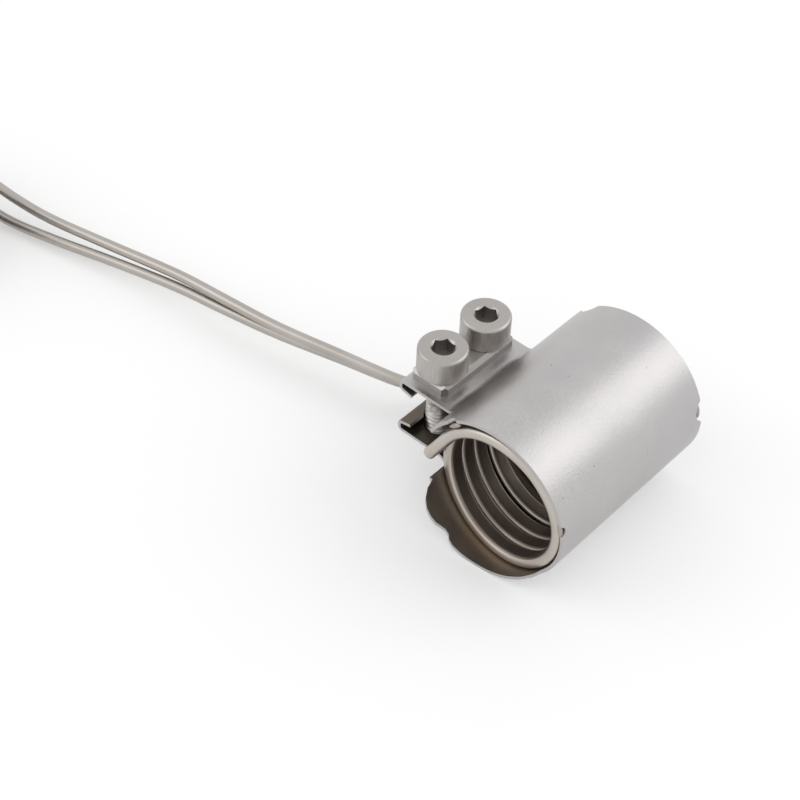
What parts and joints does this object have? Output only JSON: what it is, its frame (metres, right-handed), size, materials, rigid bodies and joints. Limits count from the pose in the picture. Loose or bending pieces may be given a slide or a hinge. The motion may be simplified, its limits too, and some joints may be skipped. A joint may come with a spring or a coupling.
{
  "type": "coil heater",
  "caption": "Nozzle coil heater: a flat-section element wound round a bore, held in a rolled sheet clamp closed by socket head screws, with metal sheathed leads.",
  "frame": {"origin": "bore axis in the plane of the coil's front face", "axes": "+Y along the bore to the rear, +Z along the clamp screws to their heads, the clamp ears on the -X side"},
  "size_m": [0.1408, 0.0613, 0.0245],
  "materials": {
    "element_steel": "satin, dulled by heat",
    "sheath_steel": "fine satin",
    "plate_steel": "satin",
    "screw_steel": "satin",
    "weld_metal": "rough, tinted",
    "sleeve_steel": "satin",
    "lead_steel": "satin",
    "tie_plastic": "matt",
    "wire_braid": "woven glass fibre",
    "ferrule_tin": "tinned"
  },
  "bodies": {
    "heater": {"heater_coil": "element_steel", "element_end_cap": "element_steel", "clamp_sheath": "sheath_steel", "upper_clamp_plate": "plate_steel", "lower_threaded_bar": "plate_steel", "front_tack_welds": "weld_metal", "rear_tack_welds": "weld_metal", "outlet_sleeve": "sleeve_steel", "upper_lead": "lead_steel", "lower_lead": "lead_steel", "upper_lead_coil": "lead_steel", "lower_lead_coil": "lead_steel", "left_coil_tie": "tie_plastic", "right_coil_tie": "tie_plastic", "upper_end_sleeve": "sleeve_steel", "lower_end_sleeve": "sleeve_steel", "upper_conductors": "wire_braid", "lower_conductors": "wire_braid", "upper_ferrules": "ferrule_tin", "lower_ferrules": "ferrule_tin"},
    "front_screw": {"front_clamp_screw": "screw_steel"},
    "rear_screw": {"rear_clamp_screw": "screw_steel"}
  },
  "joints": [
    {"name": "front_screw_turn", "type": "hinge", "parent": "heater", "child": "front_screw", "pos_m": [-0.0163, 0.0076, 0.0086], "axis": [0, 0, 1], "range_deg": [0, 1285]},
    {"name": "rear_screw_turn", "type": "hinge", "parent": "heater", "child": "rear_screw", "pos_m": [-0.0163, 0.0166, 0.0086], "axis": [0, 0, 1], "range_deg": [0, 1285]}
  ]
}
